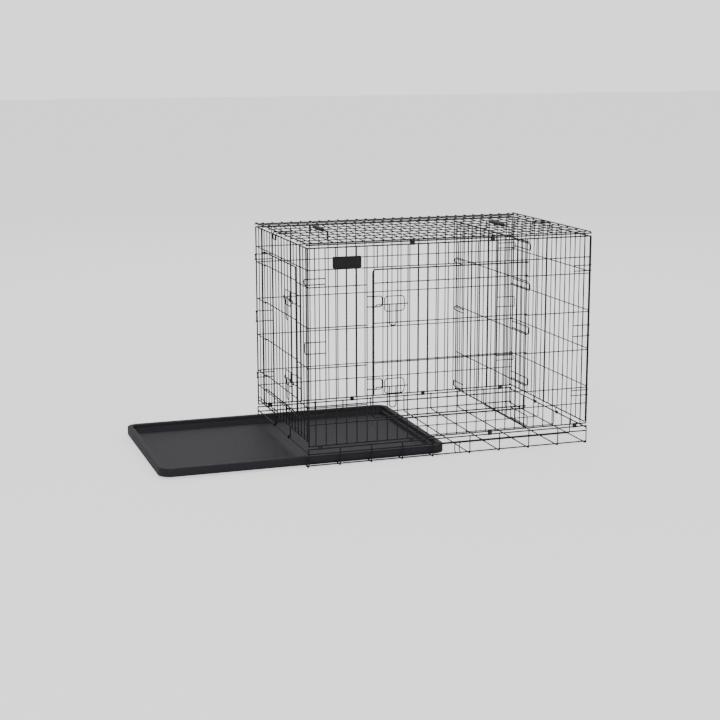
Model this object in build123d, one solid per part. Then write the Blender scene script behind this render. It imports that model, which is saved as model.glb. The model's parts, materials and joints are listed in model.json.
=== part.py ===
from build123d import *
import os
from math import cos, radians, sin, tan

# Folding wire dog crate, 42 inch class, standing set up with its tray half drawn out.
# Millimetres. Origin: centre of the crate's footprint, on the ground. X runs along the
# length (the tray leaves towards -X), Y from the front wall to the back wall, Z is up.
#
# Walls are described in their own coordinates: u along the wall, v outwards from the
# crate's middle, w up. FRONT, BACK, LEFT, RIGHT and LID turn those into X, Y, Z.

# ---- driving dimensions -------------------------------------------------------------
LENGTH = 1070.0
DEPTH = 700.0
MESH_R = 1.9                  # thin grid wires
FRAME_R = 2.5                 # wires round the edge of each panel
BASKET_R = 2.2                # cross wires of the floor basket
GUIDE_R = 1.7
ROD_R = 1.9
LEG_R = 1.9
CLEAR = 0.3                   # gap between parts that pass each other
EYE_CLEAR = 0.1               # running fit of an eye on its wire

LONG_PITCH = 37.6             # vertical wires of the front, back and lid
LONG_COUNT = 28
END_BAYS = 17                 # bays across an end panel
END_EDGE = 335.8              # edge wires of an end panel, either side of the middle

SIDE_FACE = DEPTH / 2 - 2 * FRAME_R           # weld plane of the front and back walls
END_FACE = LENGTH / 2 - FRAME_R               # weld plane of the two end walls
RING_V = SIDE_FACE - FRAME_R                  # long wires of the basket and the hinge wires
CROSS_TOP = 2 * BASKET_R
BOTTOM_RING_Z = CROSS_TOP + FRAME_R
MID_RING_Z = BOTTOM_RING_Z + 40.4
RIM_Z = 65.3
SIDE_HINGE_Z = RIM_Z + 4 * FRAME_R + 0.5
SIDE_TOP_Z = 769.5
END_TOP_Z = 769.0
LID_HINGE_Z = SIDE_TOP_Z + 4 * FRAME_R + 0.5
LEFT_RING_Z = MID_RING_Z + 2 * FRAME_R
RIGHT_RING_Z = RIM_Z - 2 * FRAME_R
LEFT_BOTTOM_Z = 92.0
RIGHT_BOTTOM_Z = 81.0
LID_FACE = LID_HINGE_Z + FRAME_R

DOOR_TOP_Z = 694.3            # panel wires just above and below both doors
DOOR_BOTTOM_Z = 152.3
SPLIT_ROWS = (211.8, 352.8, 493.8, 634.8)     # grid rows that the door openings interrupt
RIGHT_ROWS = (216.8, 357.8, 499.3, 642.3)
LEFT_EXTRA_Z = 105.0
DOOR_RISE = 4.4               # a door's own rows sit this much higher than the panel's
DOOR_INSET_TOP = 8.0
DOOR_INSET_BOTTOM = 8.0
DOOR_CORNER = 12.0

LATCH_Z = (564.3, 272.3)      # the two bolts of each door
BOLT_TRAVEL = 28.0
KEEPER_Z = ((644.3, 664.3), (404.3, 444.3), (183.3, 202.3))
BASE_CLIP_U = (-488.8, -150.4, 150.4, 488.8)
LID_CLIP_U = (-150.4, 150.4)
CLIP_LENGTH = 14.0
CLIP_WALL = 1.0
END_LEG_Y = 97.0
HINGE_LEG_R = FRAME_R + EYE_CLEAR + LEG_R     # eye of an end panel on the basket's end wire
END_RING_X = END_FACE - FRAME_R + HINGE_LEG_R

BASKET_X = (-419.0, -303.0, -187.0, -71.0, 71.0, 187.0, 303.0, 419.0)
FLOOR_Y = (-210.0, -70.0, 70.0, 207.6, 212.4)

DIVIDER_X = 290.0
DIVIDER_EDGE = 333.5
DIVIDER_ROWS = (232.0, 421.0, 614.0)
DIVIDER_BOTTOM_Z = 81.0
DIVIDER_TOP_Z = 757.0
DIVIDER_FRONT_HOOKS = ((87, 124), (237, 262), (426, 450), (584, 608), (729, 752))
DIVIDER_BACK_HOOKS = ((87, 110), (401, 415), (593, 609))

TRAY_LENGTH = 1040.0
TRAY_WIDTH = 674.0
TRAY_X = -536.0               # its middle, half drawn out
TRAY_BOTTOM_Z = 8.6
TRAY_TOP_Z = 39.0
TRAY_WALL = 2.5
TRAY_CORNER = 45.0
TRAY_SKIRT_Z = 9.2

HANDLE_X = (-376.0, 300.8)
HANDLE_Y = ((-68.5, 143.0), (-143.0, 68.5))
HANDLE_Z = LID_FACE + 8.6
HANDLE_R = 2.2
HANDLE_LIFT = 18.0
GRIP_LENGTH = 118.0


# ---- where each wall's own coordinates go -------------------------------------------
def FRONT(u, v, w):
    return Vector(u, -v, w)


def BACK(u, v, w):
    return Vector(u, v, w)


def LEFT(u, v, w):
    return Vector(-v, u, w)


def RIGHT(u, v, w):
    return Vector(v, u, w)


def LID(u, v, w):
    return Vector(u, w, v)


# ---- wire work ----------------------------------------------------------------------
def straight(start, end, radius):
    """A straight wire from start to end."""
    run = end - start
    return Solid.make_cylinder(radius, run.length, Plane(origin=start, z_dir=run))


def swept(edges, start, heading, radius):
    """A round wire along joined edges."""
    section = Plane(origin=start, z_dir=heading) * Circle(radius)
    return sweep(section, path=Wire(edges)).solid()


def path_edges(points, bend):
    """Straight runs with an arc at each corner; bend is one radius, or one for each corner."""
    edges = []
    start = points[0]
    bends = bend if isinstance(bend, tuple) else (bend,) * (len(points) - 2)
    for before, corner, after, bend in zip(points, points[1:], points[2:], bends):
        arriving = (corner - before).normalized()
        leaving = (after - corner).normalized()
        half = radians(arriving.get_angle(leaving)) / 2
        arc_start = corner - arriving * (bend * tan(half))
        arc_end = corner + leaving * (bend * tan(half))
        middle = corner + (leaving - arriving).normalized() * (bend / cos(half) - bend)
        edges.append(Line(start, arc_start))
        edges.append(ThreePointArc(arc_start, middle, arc_end))
        start = arc_end
    edges.append(Line(start, points[-1]))
    return edges


def bent(points, radius, bend):
    """A wire bent round corners."""
    return swept(path_edges(points, bend), points[0], points[1] - points[0], radius)


def eye_edges(centre, spoke, side, turn):
    """An arc of turn degrees round centre, from centre + spoke and off towards side."""
    def at(angle):
        return centre + spoke * cos(radians(angle)) + side * sin(radians(angle))

    half = turn / 2
    first = ThreePointArc(at(0), at(half / 2), at(half))
    second = ThreePointArc(at(half), at(half + half / 2), at(turn))
    return [first, second]


def upright(place, u, v, low, high, radius):
    return straight(place(u, v, low), place(u, v, high), radius)


def crossbar(place, start, end, v, w, radius):
    return straight(place(start, v, w), place(end, v, w), radius)


def long_wires():
    """The places of the evenly spaced wires along the front, back and lid."""
    return [LONG_PITCH * (k - (LONG_COUNT - 1) / 2) for k in range(LONG_COUNT)]


def end_wires(edge):
    """The places of an end grid's upright wires, its two edge wires included."""
    pitch = 2 * edge / END_BAYS
    return [-edge + pitch * k for k in range(END_BAYS + 1)]


def save(name, solids):
    export_step(Compound(label=name, children=list(solids)), "parts/" + name + ".step")


def grid_uprights(place, face, places, edges, low, high, opening):
    """Upright wires outside the weld plane, cut short above and below a door opening."""
    wires = []
    for u in places:
        inside = opening is not None and opening[0] < u < opening[1]
        if inside:
            wires.append(upright(place, u, face + MESH_R, low, DOOR_BOTTOM_Z + MESH_R, MESH_R))
            wires.append(upright(place, u, face + MESH_R, DOOR_TOP_Z - MESH_R, high, MESH_R))
        else:
            wires.append(upright(place, u, face + MESH_R, low, high, MESH_R))
    for u in edges:
        wires.append(upright(place, u, face + FRAME_R, low, high, FRAME_R))
    return wires


def grid_rows(place, face, half, rows, opening):
    """Level wires inside the weld plane; rows with an opening stop at its two wires."""
    wires = []
    v = face - MESH_R
    for w in rows:
        if opening is None:
            wires.append(crossbar(place, -half, half, v, w, MESH_R))
        else:
            wires.append(crossbar(place, -half, opening[0] + MESH_R, v, w, MESH_R))
            wires.append(crossbar(place, opening[1] - MESH_R, half, v, w, MESH_R))
    return wires


def clip_band(place, u, v, low, high):
    """A sheet-metal band crimped loosely round two parallel wires."""
    inner = FRAME_R + CLEAR
    outer = inner + CLIP_WALL
    middle = place(u - CLIP_LENGTH / 2, v, (low + high) / 2)
    along = place(u + 1, v, low) - place(u, v, low)
    plane = Plane(origin=middle, x_dir=(0, 0, 1), z_dir=along)
    gap = high - low
    band = SlotOverall(gap + 2 * outer, 2 * outer) - SlotOverall(gap + 2 * inner, 2 * inner)
    return extrude(plane * band, amount=CLIP_LENGTH, dir=along).solid()


# ---- floor basket -------------------------------------------------------------------
def basket_cross_wires():
    """U-shaped wires: a run across the floor, and a bent riser up each side."""
    wires = []
    corner = FRAME_R + BASKET_R
    riser = RING_V + corner
    for x in (-END_RING_X, *BASKET_X, END_RING_X):
        wires.append(straight(Vector(x, -RING_V, BASKET_R), Vector(x, RING_V, BASKET_R), BASKET_R))
        for side in (-1, 1):
            foot = Vector(x, side * RING_V, BASKET_R)
            knee = Vector(x, side * riser, BASKET_R + corner)
            middle = Vector(x, side * (RING_V + corner * sin(radians(45))),
                            BASKET_R + corner * (1 - cos(radians(45))))
            top = Vector(x, side * riser, RIM_Z + FRAME_R)
            edges = [ThreePointArc(foot, middle, knee), Line(knee, top)]
            wires.append(swept(edges, foot, Vector(0, side, 0), BASKET_R))
    return wires


def basket_rings():
    """Long wires on three levels, and the wires across the two ends."""
    wires = []
    reach = END_RING_X + FRAME_R
    for place in (FRONT, BACK):
        for w in (BOTTOM_RING_Z, MID_RING_Z, RIM_Z):
            wires.append(crossbar(place, -reach, reach, RING_V, w, FRAME_R))
    for place, w in ((LEFT, LEFT_RING_Z), (RIGHT, RIGHT_RING_Z)):
        wires.append(crossbar(place, -SIDE_FACE, SIDE_FACE, END_RING_X, w, FRAME_R))
    return wires


def basket_floor_wires():
    """Wires along the floor, turned up at the right end to meet the end wire."""
    wires = []
    bend = 8.0
    z = CROSS_TOP + MESH_R
    for y in FLOOR_Y:
        turn = Vector(END_RING_X - bend, y, z)
        wires.append(straight(Vector(-END_RING_X, y, z), turn, MESH_R))
        knee = Vector(END_RING_X, y, z + bend)
        middle = Vector(turn.X + bend * sin(radians(45)), y, z + bend * (1 - cos(radians(45))))
        top = Vector(END_RING_X, y, RIGHT_RING_Z - FRAME_R)
        edges = [ThreePointArc(turn, middle, knee), Line(knee, top)]
        wires.append(swept(edges, turn, Vector(1, 0, 0), MESH_R))
    return wires


def floor_crimps():
    """Small saddle crimps pressed over the floor's cross wires."""
    width = 16.0
    wall = 1.1
    outer = BASKET_R + wall
    places = [(x, y) for x in (-187.0, 187.0) for y in (-175.0, 81.0)]
    places += [(x, y) for x in (-END_RING_X, END_RING_X) for y in (-332.0, 332.0)]
    crimps = []
    for x, y in places:
        plane = Plane(origin=(x, y - width / 2, BASKET_R), x_dir=(1, 0, 0), z_dir=(0, 1, 0))
        dome = Circle(outer) + Pos(0, BASKET_R / 2) * Rectangle(2 * outer, BASKET_R)
        profile = dome & Pos(0, -outer / 2 + BASKET_R / 2) * Rectangle(3 * outer, outer + BASKET_R)
        mouth = Circle(BASKET_R) + Pos(0, BASKET_R) * Rectangle(2 * BASKET_R, 2 * BASKET_R)
        crimps.append(extrude(plane * (profile - mouth), amount=width, dir=(0, 1, 0)).solid())
    return crimps


def centre_loop():
    """Two bowed wires between the front rings, for the finger that frees the tray."""
    v = RING_V + FRAME_R + MESH_R
    wires = []
    for u in (17.0, 35.0):
        points = [FRONT(u, v, MID_RING_Z + 1), FRONT(u - 5, v, MID_RING_Z - 11),
                  FRONT(u - 5, v, BOTTOM_RING_Z + 11), FRONT(u, v, BOTTOM_RING_Z - 1)]
        wires.append(bent(points, MESH_R, 14.0))
    return wires


# ---- long walls ---------------------------------------------------------------------
def long_wall(place, opening):
    """The front or back grid, with its frame wires on the hinge lines."""
    edge = END_FACE
    wires = grid_uprights(place, SIDE_FACE, long_wires(), (-edge, edge), SIDE_HINGE_Z,
                          SIDE_TOP_Z, opening)
    half = edge + FRAME_R
    for w in (SIDE_HINGE_Z, SIDE_TOP_Z):
        wires.append(crossbar(place, -half, half, RING_V, w, FRAME_R))
    wires += grid_rows(place, SIDE_FACE, half, (DOOR_BOTTOM_Z, DOOR_TOP_Z), None)
    wires += grid_rows(place, SIDE_FACE, half, SPLIT_ROWS, opening)
    return wires


def corner_keepers(place):
    """U loops from a long wall's edge, bent round the outside of the end panel."""
    v = SIDE_FACE - MESH_R
    tip_u = END_FACE + 2 * FRAME_R + CLEAR + MESH_R
    tip_v = END_EDGE - 2 * FRAME_R - 2.0
    loops = []
    for side in (-1, 1):
        for low, high in KEEPER_Z:
            points = [place(side * 469, v, low), place(side * tip_u, v, low),
                      place(side * tip_u, tip_v, low), place(side * tip_u, tip_v, high),
                      place(side * tip_u, v, high), place(side * 469, v, high)]
            loops.append(bent(points, MESH_R, (4.0, 8.0, 8.0, 4.0)))
    return loops


def base_clips(place):
    return [clip_band(place, u, RING_V, RIM_Z, SIDE_HINGE_Z) for u in BASE_CLIP_U]


def lid_clips():
    return [clip_band(FRONT, u, RING_V, SIDE_TOP_Z, LID_HINGE_Z) for u in LID_CLIP_U]


# ---- end walls ----------------------------------------------------------------------
def end_wall(place, bottom, rows, split, opening):
    """An end grid that fits between the long walls."""
    places = end_wires(END_EDGE)
    edges = (places[0], places[-1])
    wires = grid_uprights(place, END_FACE, places[1:-1], edges, bottom, END_TOP_Z + FRAME_R,
                          opening)
    half = END_EDGE + FRAME_R
    for w in (bottom, END_TOP_Z):
        wires.append(crossbar(place, -half, half, END_FACE - FRAME_R, w, FRAME_R))
    wires += grid_rows(place, END_FACE, half, rows, None)
    wires += grid_rows(place, END_FACE, half, split, opening)
    return wires


def end_hinge_legs(place, ring_z, bottom):
    """Two legs below an end panel, each curled into an eye round the basket's end wire."""
    legs = []
    turn = 310.0
    leg_v = END_FACE - FRAME_R
    for u in (-END_LEG_Y, END_LEG_Y):
        centre = place(u, END_RING_X, ring_z)
        spoke = place(u, leg_v, ring_z) - centre
        down = Vector(0, 0, -HINGE_LEG_R)
        start = place(u, leg_v, bottom - FRAME_R)
        edges = [Line(start, centre + spoke), *eye_edges(centre, spoke, down, turn)]
        legs.append(swept(edges, start, Vector(0, 0, -1), LEG_R))
    return legs


# ---- doors --------------------------------------------------------------------------
def door_row(place, face, free, hinge, w, radius):
    """A level door wire that ends in an eye round the hinge wire; free is its other end."""
    reach = MESH_R + EYE_CLEAR + radius
    centre = place(hinge, face + MESH_R, w)
    spoke = place(hinge, face + MESH_R - reach, w) - centre
    along = place(hinge + 1, face, w) - place(hinge, face, w)
    start = place(free, face + MESH_R - reach, w)
    edges = [Line(start, centre + spoke), *eye_edges(centre, spoke, along * reach, 300.0)]
    return swept(edges, start, along, radius)


def door_corner_row(place, face, free, hinge, w, bend_to):
    """A frame wire of the door: up or down at the free edge, round a corner, to its eye."""
    reach = MESH_R + EYE_CLEAR + FRAME_R
    v = face + MESH_R - reach
    centre = place(hinge, face + MESH_R, w)
    spoke = place(hinge, v, w) - centre
    along = place(hinge + 1, face, w) - place(hinge, face, w)
    side_end = place(free, v, w + bend_to * DOOR_CORNER)
    corner_end = place(free + DOOR_CORNER, v, w)
    middle = place(free + DOOR_CORNER * (1 - cos(radians(45))), v,
                   w + bend_to * DOOR_CORNER * (1 - sin(radians(45))))
    edges = [ThreePointArc(side_end, middle, corner_end), Line(corner_end, centre + spoke),
             *eye_edges(centre, spoke, along * reach, 300.0)]
    return swept(edges, side_end, Vector(0, 0, -bend_to), FRAME_R)


def door(place, face, free, hinge, uprights):
    """A door grid: frame wires, rows that end in eyes, and upright wires on the outside."""
    top = DOOR_TOP_Z - DOOR_INSET_TOP
    bottom = DOOR_BOTTOM_Z + DOOR_INSET_BOTTOM
    frame_v = face - EYE_CLEAR - FRAME_R
    wires = [door_corner_row(place, face, free, hinge, top, -1),
             door_corner_row(place, face, free, hinge, bottom, 1),
             upright(place, free, frame_v, bottom + DOOR_CORNER, top - DOOR_CORNER, FRAME_R)]
    for w in SPLIT_ROWS:
        wires.append(door_row(place, face, free + FRAME_R, hinge, w + DOOR_RISE, MESH_R))
    for u in uprights:
        wires.append(upright(place, u, face - EYE_CLEAR + MESH_R, bottom - FRAME_R,
                             top + FRAME_R, MESH_R))
    return wires


def guide_loop(place, skin, free, z):
    """A wire loop welded to the door, crimped outwards at both sides to hold the rod."""
    v = skin + GUIDE_R
    crimp_v = skin + 3.3 + ROD_R + CLEAR + GUIDE_R
    near, far, low, high = free + 40, free + 113, z - 25, z + 28
    seam = 0.1
    middle = (near + far) / 2

    def side(u, first, last):
        step = 1 if last > first else -1
        return [place(u, v, z - 9 * step), place(u, crimp_v, z - 3 * step),
                place(u, crimp_v, z + 3 * step), place(u, v, z + 9 * step)]

    points = [place(middle + seam, v, low), place(far, v, low), *side(far, low, high),
              place(far, v, high), place(near, v, high), *side(near, high, low),
              place(near, v, low), place(middle - seam, v, low)]
    crimp = (2.2,) * 4
    return bent(points, GUIDE_R, (12.0, *crimp, 12.0, 12.0, *crimp, 12.0))


def catch_loop(place, face, skin, free, start, z):
    """A U of wire on the panel whose closed end stands over the door's free edge."""
    base_v = face + 2 * MESH_R + MESH_R
    out_v = skin + 3.3 + ROD_R + CLEAR + MESH_R
    high, low = z + 31, z - 6
    shape = [(start, base_v), (free - 14, base_v), (free - 4, out_v), (free + 30, out_v)]
    points = [place(u, v, high) for u, v in shape]
    points += [place(u, v, low) for u, v in reversed(shape)]
    return bent(points, MESH_R, (4.0, 4.0, 10.0, 10.0, 4.0, 4.0))


def bolt(place, skin, free, z):
    """A sliding rod with its tip turned down, and the U handle that hangs from it."""
    v = skin + 3.3
    handle_v = v + ROD_R + MESH_R
    rod = bent([place(free + 8, v, z - 9), place(free + 8, v, z), place(free + 128, v, z)],
               ROD_R, 4.0)
    low = z - 74
    handle = bent([place(free + 57, handle_v, z + 1.5), place(free + 57, handle_v, low),
                   place(free + 81, handle_v, low), place(free + 81, handle_v, z + 1.5)],
                  MESH_R, 10.0)
    return [rod, handle]


# ---- lid ----------------------------------------------------------------------------
def lid_panel():
    """The top grid: long wires below its weld plane, cross wires above it."""
    half = END_FACE + 2 * FRAME_R
    overhang = 3.0
    wires = []
    for w in (-RING_V, RING_V):
        wires.append(crossbar(LID, -half, half, LID_HINGE_Z, w, FRAME_R))
    for k in range(-4, 5):
        wires.append(crossbar(LID, -half, half, LID_FACE - MESH_R, 74.5 * k, MESH_R))
    for u in long_wires():
        wires.append(upright(LID, u, LID_FACE + MESH_R, -RING_V, RING_V + overhang, MESH_R))
    for u in (-END_FACE, END_FACE):
        wires.append(upright(LID, u, LID_FACE + FRAME_R, -RING_V, RING_V + overhang, FRAME_R))
    return wires


def lid_hooks():
    """A U of wire at each end that drops over the outside of the end panel."""
    v = LID_FACE - MESH_R
    out = END_FACE + 2 * FRAME_R + 4.0
    hooks = []
    for side in (-1, 1):
        points = [LID(side * 468, v, 20), LID(side * out, v, 20), LID(side * out, v - 25, 20),
                  LID(side * out, v - 25, 60), LID(side * out, v, 60), LID(side * 468, v, 60)]
        hooks.append(bent(points, MESH_R, (4.0, 9.0, 9.0, 4.0)))
    return hooks


def handle_bail(x, low_y, high_y):
    """A carrying wire that drops through the lid; its feet catch under two long wires."""
    foot_z = LID_FACE - 2 * MESH_R - 0.4 - HANDLE_R - HANDLE_LIFT
    points = [Vector(x, low_y - 14, foot_z), Vector(x, low_y, foot_z),
              Vector(x, low_y, HANDLE_Z), Vector(x, high_y, HANDLE_Z),
              Vector(x, high_y, foot_z), Vector(x, high_y + 14, foot_z)]
    return bent(points, HANDLE_R, 6.0)


def handle_grip(x, low_y, high_y):
    """A plastic grip moulded round the carrying wire, waisted towards its ends."""
    middle = (low_y + high_y) / 2
    sections = []
    for along, wide, tall in ((-1.0, 12, 11), (-0.8, 18, 14), (0.0, 22, 15.6), (0.8, 18, 14),
                              (1.0, 12, 11)):
        plane = Plane(origin=(x, middle + along * GRIP_LENGTH / 2, HANDLE_Z), x_dir=(1, 0, 0),
                      z_dir=(0, 1, 0))
        sections.append(plane * Ellipse(wide / 2, tall / 2))
    body = loft(sections)
    bore = straight(Vector(x, middle - GRIP_LENGTH, HANDLE_Z),
                    Vector(x, middle + GRIP_LENGTH, HANDLE_Z), HANDLE_R)
    return (body - bore).solid()


# ---- divider ------------------------------------------------------------------------
def divider_panel():
    """The partition grid; its wires lie either side of the plane DIVIDER_X."""
    wires = []
    places = end_wires(DIVIDER_EDGE)
    low = DIVIDER_BOTTOM_Z - FRAME_R
    high = DIVIDER_TOP_Z + FRAME_R
    for y in places[1:-1]:
        wires.append(upright(RIGHT, y, DIVIDER_X - MESH_R, low, high, MESH_R))
    for y in (places[0], places[-1]):
        wires.append(upright(RIGHT, y, DIVIDER_X - FRAME_R, low, high, FRAME_R))
    half = DIVIDER_EDGE + FRAME_R
    for w in (DIVIDER_BOTTOM_Z, DIVIDER_TOP_Z):
        wires.append(crossbar(RIGHT, -half, half, DIVIDER_X + FRAME_R, w, FRAME_R))
    for w in DIVIDER_ROWS:
        wires.append(crossbar(RIGHT, -half, half, DIVIDER_X + MESH_R, w, MESH_R))
    return wires


def divider_hooks(rows, inner, tip):
    """Long U tongues that pass out through the mesh of a long wall."""
    v = DIVIDER_X + MESH_R
    hooks = []
    for low, high in rows:
        points = [RIGHT(inner, v, low), RIGHT(tip, v, low), RIGHT(tip, v, high),
                  RIGHT(inner, v, high)]
        hooks.append(bent(points, MESH_R, 6.5))
    return hooks


# ---- tray ---------------------------------------------------------------------------
def tray():
    """A one-piece plastic tray: flat floor, stepped sloping wall, flat rim, outer skirt."""
    def block(inset, low, high, slope=0.0):
        corner = max(TRAY_CORNER - inset, 6.0)
        outline = RectangleRounded(TRAY_LENGTH - 2 * inset, TRAY_WIDTH - 2 * inset, corner)
        plane = Plane(origin=(TRAY_X, 0, low))
        return extrude(plane * outline, amount=high - low, taper=-slope)

    ledge_z = 26.0
    outside = block(34, TRAY_BOTTOM_Z, ledge_z, 20.0)
    outside += block(20, ledge_z - TRAY_WALL, TRAY_TOP_Z, 10.0)
    inside = block(34 + TRAY_WALL, TRAY_BOTTOM_Z + TRAY_WALL, ledge_z + 0.01, 20.0)
    inside += block(20 + TRAY_WALL, ledge_z, TRAY_TOP_Z + 1, 10.0)
    rim = block(0, TRAY_TOP_Z - TRAY_WALL, TRAY_TOP_Z) - block(20, TRAY_TOP_Z - 4, TRAY_TOP_Z + 1)
    skirt = block(0, TRAY_SKIRT_Z, TRAY_TOP_Z)
    skirt -= block(TRAY_WALL, TRAY_SKIRT_Z - 1, TRAY_TOP_Z + 1)
    return (outside + rim + skirt - inside).solid()


def name_plate():
    """A blank plate in front of the upper grid, with two snap channels on its wires."""
    wires = long_wires()
    left, right = wires[2], wires[4]
    low, high = 697.3, 738.6
    v = SIDE_FACE + 2 * MESH_R + CLEAR
    thick = 3.0
    middle = FRONT((left + right) / 2 + 2, v, (low + high) / 2)
    plane = Plane(origin=middle, x_dir=(1, 0, 0), z_dir=(0, -1, 0))
    plate = extrude(plane * RectangleRounded(104, high - low, 5), amount=thick)
    face = Plane(origin=middle + Vector(0, -thick, 0), x_dir=(1, 0, 0), z_dir=(0, -1, 0))
    plate -= extrude(face * RectangleRounded(97, high - low - 7, 3), amount=-0.8)
    for u in (left, right):
        centre = FRONT(u, SIDE_FACE + MESH_R, low + 6)
        ring = Plane(origin=centre, x_dir=(1, 0, 0), z_dir=(0, 0, 1))
        channel = Pos(0, -1.0) * Rectangle(7.2, 6.0) - Circle(MESH_R + 0.1)
        channel -= Pos(0, 2.5) * Rectangle(2.4, 5.0)
        plate += extrude(ring * channel, amount=high - low - 12)
    return plate.solid()


# ---- everything ---------------------------------------------------------------------
def main():
    os.makedirs("parts", exist_ok=True)
    wires = long_wires()
    front_opening = (wires[5], wires[21])
    front_free = wires[5] + 22.6
    ends = end_wires(END_EDGE)
    left_opening = (ends[3], ends[14])
    left_free = -190.0
    front_skin = SIDE_FACE - EYE_CLEAR + 2 * MESH_R
    left_skin = END_FACE - EYE_CLEAR + 2 * MESH_R

    save("floor_basket", basket_cross_wires() + basket_rings() + basket_floor_wires())
    save("floor_crimps", floor_crimps())
    save("tray_finger_loop", centre_loop())
    save("front_base_clips", base_clips(FRONT))
    save("back_base_clips", base_clips(BACK))

    save("front_panel", long_wall(FRONT, front_opening))
    save("front_corner_keepers", corner_keepers(FRONT))
    save("front_door_catches",
         [catch_loop(FRONT, SIDE_FACE, front_skin, front_free, wires[5] - 2.4, z) for z in LATCH_Z])
    save("name_plate", [name_plate()])
    save("lid_hinge_clips", lid_clips())
    save("back_panel", long_wall(BACK, None))
    save("back_corner_keepers", corner_keepers(BACK))

    left_rows = (LEFT_EXTRA_Z, DOOR_BOTTOM_Z, DOOR_TOP_Z)
    save("left_end_panel", end_wall(LEFT, LEFT_BOTTOM_Z, left_rows, SPLIT_ROWS, left_opening))
    save("left_end_hinge_legs", end_hinge_legs(LEFT, LEFT_RING_Z, LEFT_BOTTOM_Z))
    save("left_door_catches",
         [catch_loop(LEFT, END_FACE, left_skin, left_free, ends[2] - 3, z) for z in LATCH_Z])
    save("right_end_panel", end_wall(RIGHT, RIGHT_BOTTOM_Z, RIGHT_ROWS, (), None))
    save("right_end_hinge_legs", end_hinge_legs(RIGHT, RIGHT_RING_Z, RIGHT_BOTTOM_Z))

    save("front_door", door(FRONT, SIDE_FACE, front_free, wires[21], wires[7:21]))
    save("left_door", door(LEFT, END_FACE, left_free, ends[14], ends[5:14]))
    for wall, place, skin, free in (("front", FRONT, front_skin, front_free),
                                    ("left", LEFT, left_skin, left_free)):
        save(wall + "_bolt_guides", [guide_loop(place, skin, free, z) for z in LATCH_Z])
        save(wall + "_upper_bolt", bolt(place, skin, free, LATCH_Z[0]))
        save(wall + "_lower_bolt", bolt(place, skin, free, LATCH_Z[1]))

    save("lid_panel", lid_panel())
    save("lid_end_hooks", lid_hooks())
    for side, x, (low_y, high_y) in zip(("left", "right"), HANDLE_X, HANDLE_Y):
        save(side + "_handle_wire", [handle_bail(x, low_y, high_y)])
        save(side + "_handle_grip", [handle_grip(x, low_y, high_y)])

    save("divider_panel", divider_panel())
    save("divider_front_hooks", divider_hooks(DIVIDER_FRONT_HOOKS, -210.0, -354.0))
    save("divider_back_hooks", divider_hooks(DIVIDER_BACK_HOOKS, 270.0, 362.0))
    save("tray", [tray()])


main()
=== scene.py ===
import json
import math

import bmesh
import bpy
import numpy as np
from mathutils import Matrix, Vector


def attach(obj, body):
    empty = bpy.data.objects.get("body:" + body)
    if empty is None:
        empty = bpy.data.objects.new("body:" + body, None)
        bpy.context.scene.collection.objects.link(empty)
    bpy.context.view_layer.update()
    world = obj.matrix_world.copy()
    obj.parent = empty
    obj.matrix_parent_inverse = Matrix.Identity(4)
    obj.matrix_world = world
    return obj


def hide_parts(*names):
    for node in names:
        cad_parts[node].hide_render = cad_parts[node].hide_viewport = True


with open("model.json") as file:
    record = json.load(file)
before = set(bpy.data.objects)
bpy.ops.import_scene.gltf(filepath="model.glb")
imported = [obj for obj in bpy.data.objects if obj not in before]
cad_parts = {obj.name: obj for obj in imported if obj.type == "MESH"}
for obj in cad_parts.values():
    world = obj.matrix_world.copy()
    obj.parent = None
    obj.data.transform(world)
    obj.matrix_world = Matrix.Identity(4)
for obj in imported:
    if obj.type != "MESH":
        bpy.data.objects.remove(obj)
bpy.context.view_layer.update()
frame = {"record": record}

record = frame["record"]
BODY = {node: body for body, nodes in record["behaviour"]["bodies"].items() for node in nodes}
SLOT = {part["node"]: part["material_slot"] for part in record["subparts"]}
MM = 0.001
SIDES = 14

# ---- dimensions, in millimetres, as in the CAD ----------------------------------------
MESH_R, FRAME_R, BASKET_R, GUIDE_R, ROD_R, LEG_R = 1.9, 2.5, 2.2, 1.7, 1.9, 1.9
CLEAR, EYE_CLEAR = 0.3, 0.1
LONG_PITCH, LONG_COUNT = 37.6, 28
END_BAYS, END_EDGE = 17, 335.8
SIDE_FACE = 350.0 - 2 * FRAME_R
END_FACE = 535.0 - FRAME_R
RING_V = SIDE_FACE - FRAME_R
CROSS_TOP = 2 * BASKET_R
BOTTOM_RING_Z = CROSS_TOP + FRAME_R
MID_RING_Z = BOTTOM_RING_Z + 40.4
RIM_Z, SIDE_TOP_Z, END_TOP_Z = 65.3, 769.5, 769.0
SIDE_HINGE_Z = RIM_Z + 4 * FRAME_R + 0.5
LID_HINGE_Z = SIDE_TOP_Z + 4 * FRAME_R + 0.5
LEFT_RING_Z = MID_RING_Z + 2 * FRAME_R
RIGHT_RING_Z = RIM_Z - 2 * FRAME_R
LEFT_BOTTOM_Z, RIGHT_BOTTOM_Z = 92.0, 81.0
LID_FACE = LID_HINGE_Z + FRAME_R
DOOR_TOP_Z, DOOR_BOTTOM_Z = 694.3, 152.3
SPLIT_ROWS = (211.8, 352.8, 493.8, 634.8)
RIGHT_ROWS = (216.8, 357.8, 499.3, 642.3)
LEFT_EXTRA_Z = 105.0
DOOR_RISE, DOOR_INSET, DOOR_CORNER = 4.4, 8.0, 12.0
LATCH_Z = (564.3, 272.3)
KEEPER_Z = ((644.3, 664.3), (404.3, 444.3), (183.3, 202.3))
BASE_CLIP_U = (-488.8, -150.4, 150.4, 488.8)
LID_CLIP_U = (-150.4, 150.4)
END_LEG_Y = 97.0
HINGE_LEG_R = FRAME_R + EYE_CLEAR + LEG_R
END_RING_X = END_FACE - FRAME_R + HINGE_LEG_R
BASKET_X = (-419.0, -303.0, -187.0, -71.0, 71.0, 187.0, 303.0, 419.0)
FLOOR_Y = (-210.0, -70.0, 70.0, 207.6, 212.4)
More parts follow.
